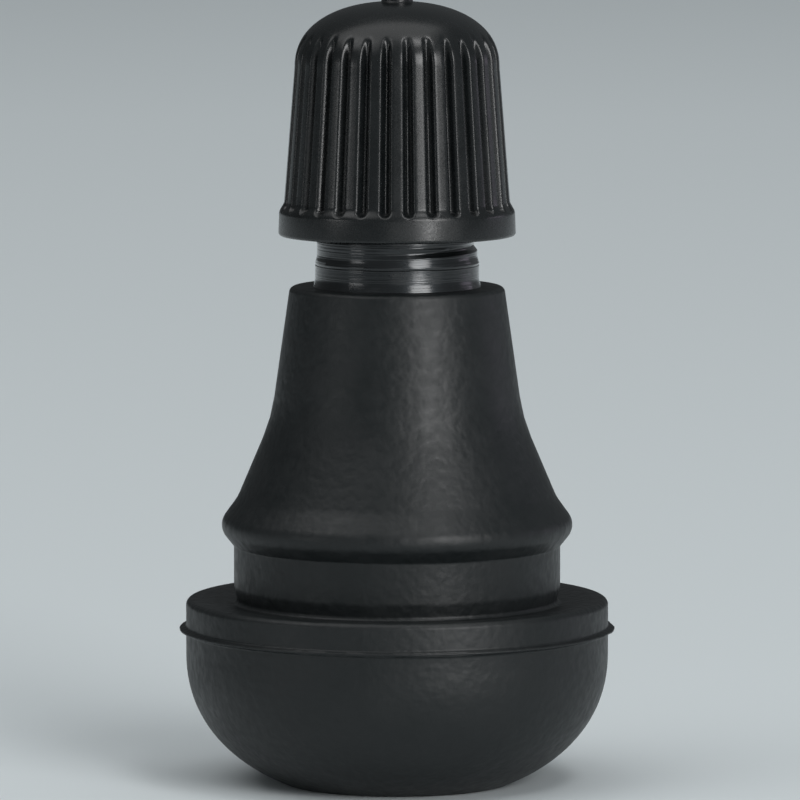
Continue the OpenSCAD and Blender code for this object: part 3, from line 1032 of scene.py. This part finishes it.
    def build(self) -> None:
        """Build the plug, the turned pieces of the core from the barrel to the pin, and the spring."""
        self.plug()
        edge = self.edge_round
        barrel = turned("core_barrel_skin", [
            self.at(self.barrel_bore_r, self.flange[0], edge), self.at(self.flange_r, self.flange[0], edge),
            self.at(self.flange_r, self.flange[1], edge), self.at(self.barrel_r, self.flange[1]),
            self.at(self.barrel_r, self.collar[0]), self.at(self.flange_r, self.collar[0], edge),
            self.at(self.flange_r, self.collar[1]), self.at(self.barrel_r, self.collar[1]),
            self.at(self.barrel_r, self.gasket_low), self.at(self.nose_r, self.gasket_low),
            self.at(self.nose_r, self.nose_low - self.nose_bevel[1], edge),
            self.at(self.nose_r - self.nose_bevel[0], self.nose_low, edge),
            self.at(self.nose_bore_r, self.nose_low, edge), self.at(self.nose_bore_r, self.ledge),
            self.at(self.barrel_bore_r, self.ledge)])
        dress(barrel.close_up(), CORE_BRASS, Body.VALVE)
        gasket = turned("core_gasket_skin", [
            self.at(self.barrel_r, self.collar[1]), self.at(self.gasket_r[0], self.collar[1], edge),
            self.at(self.gasket_r[1], self.gasket_low, edge), self.at(self.barrel_r, self.gasket_low)])
        dress(gasket.close_up(), GASKET_RUBBER, Body.VALVE)
        bevel = self.pin_bevel
        pin = turned("core_pin_skin", [
            self.at(0.0, self.pin_top), self.at(self.head_r, self.pin_top, self.pin_round),
            self.at(self.head_r, self.head_low), self.at(self.pin_r, self.head_low + bevel),
            self.at(self.pin_r, self.pin_collar[0] - bevel), self.at(self.pin_collar_r, self.pin_collar[0]),
            self.at(self.pin_collar_r, self.pin_collar[1]), self.at(self.pin_r, self.pin_collar[1]),
            self.at(self.pin_r, self.cup_low), self.at(self.rivet_r, self.cup_low),
            self.at(self.rivet_r, self.rivet_low, self.pin_round),
            self.at(0.0, self.rivet_low)], closed=False)
        dress(pin.close_up(), CORE_BRASS, Body.PIN)
        cup = turned("core_cup_skin", [
            self.at(self.pin_r, self.cup_seal_low), self.at(self.cup_bore_r, self.cup_seal_low),
            self.at(self.cup_bore_r, self.cup_lip, edge), self.at(self.cup_r, self.cup_lip, edge),
            self.at(self.cup_r, self.cup_low, self.cup_round), self.at(self.pin_r, self.cup_low)])
        dress(cup.close_up(), CORE_BRASS, Body.PIN)
        washer = turned("cup_seal_skin", [
            self.at(self.pin_r, self.nose_low), self.at(self.cup_bore_r, self.nose_low, edge),
            self.at(self.cup_bore_r, self.cup_seal_low), self.at(self.pin_r, self.cup_seal_low)])
        dress(washer.close_up(), SEAL_RUBBER, Body.PIN)
        self.spring()


@dataclass
class Cap:
    """Fluted dust cap and its seal, sizes in millimetres."""

    stem: Stem
    rim_r: float = 5.7
    rim_h: float = 1.35
    rim_taper: float = 0.04
    rim_round: float = 0.15
    rim_blend_h: float = 0.6
    blend_rows: int = 12
    side_r: float = 5.42
    side_top_r: float = 4.92
    side_rows: int = 12
    dome_h: float = 3.18
    dome_power: float = 2.25
    dome_rows: int = 28
    gate_r: float = 0.75
    gate_h: float = 0.5
    gate_round: float = 0.12
    flute_count: int = 30
    flute_half: float = 0.17
    flute_depth: float = 0.38
    # Share of a flute's depth that its rounded shoulder takes up
    shoulder_share: float = 0.5
    # How far a flute runs down into the skirt
    flute_drop: float = 0.15
    rib_columns: int = 2
    edge_columns: int = 4
    floor_columns: int = 8
    foot_round: float = 0.1
    bore_r: float = 3.95
    lead: float = 0.4
    pocket_r: float = 2.1
    pocket_h: float = 1.9
    pocket_round: float = 0.5
    seal_hole_r: float = 1.5
    seal_gap: float = 0.05
    seal_round: float = 0.12
    crest_gap: float = 0.14
    crest_w: float = 0.1
    root_w: float = 0.36
    # Slope at which the thread fades at the ends of the bore
    thread_fade: float = 0.7
    # Strip that joins the bore to the shell and to the crown
    land: float = 0.2

    def __post_init__(self) -> None:
        """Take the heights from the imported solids."""
        self.low = low_z("cap")
        self.top = top_z("cap") - self.gate_h
        self.rim_top = self.low + self.rim_h
        self.dome_z = self.top - self.dome_h
        self.blend_low = self.rim_top - self.rim_blend_h / 2
        self.blend_top = self.rim_top + self.rim_blend_h / 2
        self.ceiling = top_z("cap_seal")
        self.shoulder = self.shoulder_share * self.flute_half / (1 - self.shoulder_share)

    def side(self, z: float) -> float:
        """Radius of the leaning side at a height, carried on past its ends."""
        share = (z - self.blend_top) / (self.dome_z - self.blend_top)
        return self.side_r + (self.side_top_r - self.side_r) * share

    def skirt(self, z: float) -> float:
        """Radius where the side runs out into the rim, at a height between the two."""
        share = (self.blend_top - z) / self.rim_blend_h
        return self.side(z) + (self.rim_r - self.rim_taper - self.side(z)) * share ** 2 * (3 - 2 * share)

    def dome(self) -> list[Corner]:
        """Outline of the dome, a squarish ellipse.

        Returns:
            Corners from beside the gate mark down to the dome's foot.
        """
        power = 2 / self.dome_power
        turns = [math.pi / 2 * (1 - i / self.dome_rows) for i in range(self.dome_rows + 1)]
        rows = [Corner(self.side_top_r * max(0.0, math.cos(t)) ** power,
                       self.dome_z + self.dome_h * math.sin(t) ** power) for t in turns]
        return [row for row in rows if row.r > self.gate_r]

    def flute(self, r: float, angle: float, z: float) -> float:
        """Press one flute into the side, from a round end up until the dome curves away from it.

        Args:
            r: radius of a vertex.
            angle: its angle from the flute's middle, in radians.
            z: its height.

        Returns:
            Its new radius.
        """
        if z < self.blend_low or r < self.side(self.top) / 2:
            return r
        off = math.hypot(angle * self.side_r, max(0.0, self.blend_top - self.flute_drop - z))
        beyond = (off - self.flute_half) / self.shoulder
        if beyond >= 1:
            return r
        if beyond > 0:
            share = self.shoulder_share * (1 - beyond) ** 2
        else:
            share = 1 - (1 - self.shoulder_share) * (off / self.flute_half) ** 2
        return r - share * max(0.0, r - self.side(z) + self.flute_depth)

    def shell(self) -> Workpiece:
        """Make the outside: one sector with its flute, copied round, down to the bore's lead-in.

        Returns:
            The workpiece, open at the bore.
        """
        foot = self.foot_round
        sides = [self.dome_z + (self.blend_top - self.dome_z) * i / self.side_rows
                 for i in range(1, self.side_rows)]
        skirts = [self.blend_top - self.rim_blend_h * i / self.blend_rows
                  for i in range(self.blend_rows + 1)]
        rows = [Corner(self.side(z), z) for z in sides] + [Corner(self.skirt(z), z) for z in skirts]
        outline = [Corner(0, self.top + self.gate_h),
                   Corner(self.gate_r, self.top + self.gate_h, self.gate_round),
                   Corner(self.gate_r, self.dome()[0].z, foot), *self.dome(), *rows,
                   Corner(self.rim_r, self.low, self.rim_round),
                   Corner(self.bore_r + self.lead, self.low, foot),
                   Corner(self.bore_r, self.low + self.lead)]
        sector = math.tau / self.flute_count
        floor = self.flute_half / self.side_r
        edge = self.shoulder / self.side_r
        rib = sector / 2 - floor - edge
        skin = Workpiece("cap_skin")
        skin.trace(rounded(outline), angle=sector / 2)
        before = ((rib, self.rib_columns), (edge, self.edge_columns))
        for angle, steps in (*before, (2 * floor, self.floor_columns), *reversed(before)):
            skin.spin(steps, angle)
        skin.weld()
        skin.press(self.flute)
        bpy.ops.mesh.select_all(action="SELECT")
        skin.spin(self.flute_count - 1, math.tau - sector, copies=True)
        skin.weld()
        return skin

    def build(self) -> None:
        """Join the outside, the threaded bore and the crown, and turn the seal."""
        land = self.land
        stem_thread = self.stem.thread
        thread = Thread(stem_thread.pitch, stem_thread.root_r + self.crest_gap, self.bore_r, self.crest_w,
                        self.root_w, stem_thread.root_z + stem_thread.pitch / 2)
        bore_low = self.low + self.lead + land
        bore_top = self.ceiling - land

        def ends(r: float, angle: float, z: float) -> float:
            """Fade the thread in and out at the ends of the bore."""
            return max(r, self.bore_r - self.thread_fade * min(z - bore_low, bore_top - z))

        skin = self.shell()
        skin.take(thread.wind("cap_thread", bore_low, bore_top, ends))
        skin.bridge(self.low + self.lead / 2, bore_low + land / 2)
        crown = turned("cap_crown", [Corner(self.bore_r, self.ceiling), Corner(self.pocket_r, self.ceiling),
                                     Corner(self.pocket_r, self.ceiling + self.pocket_h, self.pocket_round),
                                     Corner(0, self.ceiling + self.pocket_h)], closed=False)
        skin.take(crown)
        skin.bridge(bore_top - land / 2, self.ceiling + land / 2)
        dress(skin.close_up(), CAP_PLASTIC, Body.CAP)

        seal_r = self.bore_r - self.seal_gap
        seal = turned("cap_seal_skin", [Corner(self.seal_hole_r, self.stem.mouth, self.seal_round),
                                        Corner(seal_r, self.stem.mouth, self.seal_round),
                                        Corner(seal_r, self.ceiling, self.seal_round),
                                        Corner(self.seal_hole_r, self.ceiling, self.seal_round)])
        dress(seal.close_up(), SEAL_RUBBER, Body.CAP_SEAL)


# Studio

@dataclass(frozen=True)
class SoftBox:
    """A soft light that faces the valve.

    Args:
        name: name of the light.
        azimuth: degrees to the right of the camera.
        elevation: degrees above the horizon.
        distance: distance from the valve, in metres.
        width: width in metres.
        height: height in metres.
        level: brightness that it gives a white card at the valve.
        colour: its colour.
    """

    name: str
    azimuth: float
    elevation: float
    distance: float
    width: float
    height: float
    level: float
    colour: str = "#ffffff"

    def hang(self, target: Vector) -> None:
        """Hang the light so that it faces a point.

        Args:
            target: the point, in metres.
        """
        a, e = math.radians(self.azimuth), math.radians(self.elevation)
        away = Vector((math.sin(a) * math.cos(e), -math.cos(a) * math.cos(e), math.sin(e)))
        turn = away.to_track_quat("Z", "Y").to_euler()
        bpy.ops.object.light_add(type="AREA", location=target + away * self.distance, rotation=turn)
        light = bpy.context.object
        light.name = light.data.name = self.name
        light.data.shape = "RECTANGLE"
        light.data.size = self.width
        light.data.size_y = self.height
        light.data.energy = self.level * (math.pi * self.distance) ** 2
        light.data.color = linear(self.colour)[:3]
        light.visible_camera = False


@dataclass
class Studio:
    """Pale floor, with painted shade in front and painted light far behind, soft lights and the camera, in
    metres.
    """

    floor_size: float = 8.0
    # Painted shade: the paper in front of the valve is darker, so that its glossy sides mirror less light
    floor_front_painted_shade: str = "#a4aaac"
    floor_dull: float = 0.8
    # Depths between which the paper takes on each next colour: painted shade in front of the valve, which
    # its glossy sides mirror, and painted light far behind it, where the lamps fall off
    floor_painted_light_grades: tuple[tuple[float, float, str], ...] = (
        (-0.2, -0.03, "#dbe2e4"), (0.05, 0.5, "#e9f0f2"))
    sky_colour: str = "#dfe6ea"
    sky_levels: tuple[float, float] = (0.05, 0.38)
    # Direction in which the sky is brightest
    sky_bright: tuple[float, float, float] = (0.45, -0.75, 0.48)
    camera_place: tuple[float, float, float] = (0.0, -0.378, 0.0562)
    camera_target: tuple[float, float, float] = (0.00014, 0.0, 0.01845)
    focal_mm: float = 355.5
    sensor_mm: float = 36.0
    clip_near: float = 0.01
    lights: tuple[SoftBox, ...] = (
        SoftBox("key", 34, 21, 0.62, 0.28, 0.26, 0.46),
        SoftBox("low_key", 28, -0.5, 0.42, 0.6, 0.03, 0.055),
        SoftBox("low_core", 31, -0.5, 0.42, 0.1, 0.03, 0.095),
        SoftBox("high_key", 38, 60, 0.7, 0.16, 0.16, 0.12),
        SoftBox("top", -85, 80, 1.5, 1.2, 2.2, 0.38),
        SoftBox("high_left", -56, 52, 0.7, 0.5, 0.3, 0.09),
        SoftBox("left_strip", -60, 8, 0.7, 0.24, 0.07, 0.045),
        SoftBox("right_strip", 114, 6, 0.7, 0.3, 0.08, 0.02, "#e6d9ee"),
    )

    def floor(self) -> None:
        """Lay the floor, darker in front as painted shade and lighter far behind as painted light, which
        can be looked through from below.
        """
        bpy.ops.object.select_all(action="DESELECT")
        bpy.ops.mesh.primitive_plane_add(size=self.floor_size)
        floor = bpy.context.object
        floor.name = "floor"
        material, tree = new_material("paper_floor_painted_light")
        place = add_node(tree, "ShaderNodeTexCoord").outputs["Object"]
        depth = add_node(tree, "ShaderNodeSeparateXYZ", {"Vector": place}).outputs["Y"]
        # The paper's colour along the depth: painted shade in front, painted light far behind
        shade: Any = linear(self.floor_front_painted_shade)
        for near, far, colour in self.floor_painted_light_grades:
            fade = add_node(tree, "ShaderNodeMapRange", {
                "Value": depth, "From Min": near, "From Max": far})
            blend = add_node(tree, "ShaderNodeMix", {
                0: fade.outputs["Result"], 6: shade, 7: linear(colour)}, data_type="RGBA")
            shade = blend.outputs[2]
        paper = add_node(tree, "ShaderNodeBsdfPrincipled", {
            "Base Color": shade, "Roughness": self.floor_dull})
        clear = add_node(tree, "ShaderNodeBsdfTransparent")
        below = add_node(tree, "ShaderNodeNewGeometry").outputs["Backfacing"]
        mix = add_node(tree, "ShaderNodeMixShader", {
            0: below, 1: paper.outputs["BSDF"], 2: clear.outputs["BSDF"]})
        add_node(tree, "ShaderNodeOutputMaterial", {"Surface": mix.outputs["Shader"]})
        floor.data.materials.append(material)

    def camera(self) -> None:
        """Set the camera at the photograph's viewing angle."""
        place, target = Vector(self.camera_place), Vector(self.camera_target)
        turn = (target - place).to_track_quat("-Z", "Y").to_euler()
        bpy.ops.object.camera_add(location=place, rotation=turn)
        camera = bpy.context.object
        camera.data.lens = self.focal_mm
        camera.data.sensor_width = self.sensor_mm
        camera.data.clip_start = self.clip_near
        bpy.context.scene.camera = camera

    def build(self) -> None:
        """Set up the floor, the sky, the lights and the camera."""
        scene = bpy.context.scene
        scene.view_settings.view_transform = "Standard"
        world = bpy.data.worlds.new("studio")
        world.use_nodes = True
        world.node_tree.nodes.clear()
        towards = add_node(world.node_tree, "ShaderNodeTexCoord").outputs["Generated"]
        facing = add_node(world.node_tree, "ShaderNodeVectorMath", {
            0: towards, 1: self.sky_bright}, operation="DOT_PRODUCT")
        level = add_node(world.node_tree, "ShaderNodeMapRange", {
            "Value": facing.outputs["Value"], "From Min": -1.0, "From Max": 1.0,
            "To Min": self.sky_levels[0], "To Max": self.sky_levels[1]})
        sky = add_node(world.node_tree, "ShaderNodeBackground", {
            "Color": linear(self.sky_colour), "Strength": level.outputs["Result"]})
        add_node(world.node_tree, "ShaderNodeOutputWorld", {"Surface": sky.outputs["Background"]})
        scene.world = world
        self.floor()
        self.camera()
        for light in self.lights:
            light.hang(Vector((0, 0, (CAD_BOX[0].z + CAD_BOX[1].z) / 2)))


def main() -> None:
    """Build the valve piece by piece, then the studio round it."""
    stem = Stem()
    stem.build()
    RubberBody(stem).build()
    ValveCore(stem).build()
    Cap(stem).build()
    Studio().build()


if __name__ == "__main__":
    logging.basicConfig(level=logging.INFO, format="%(message)s")
    main()
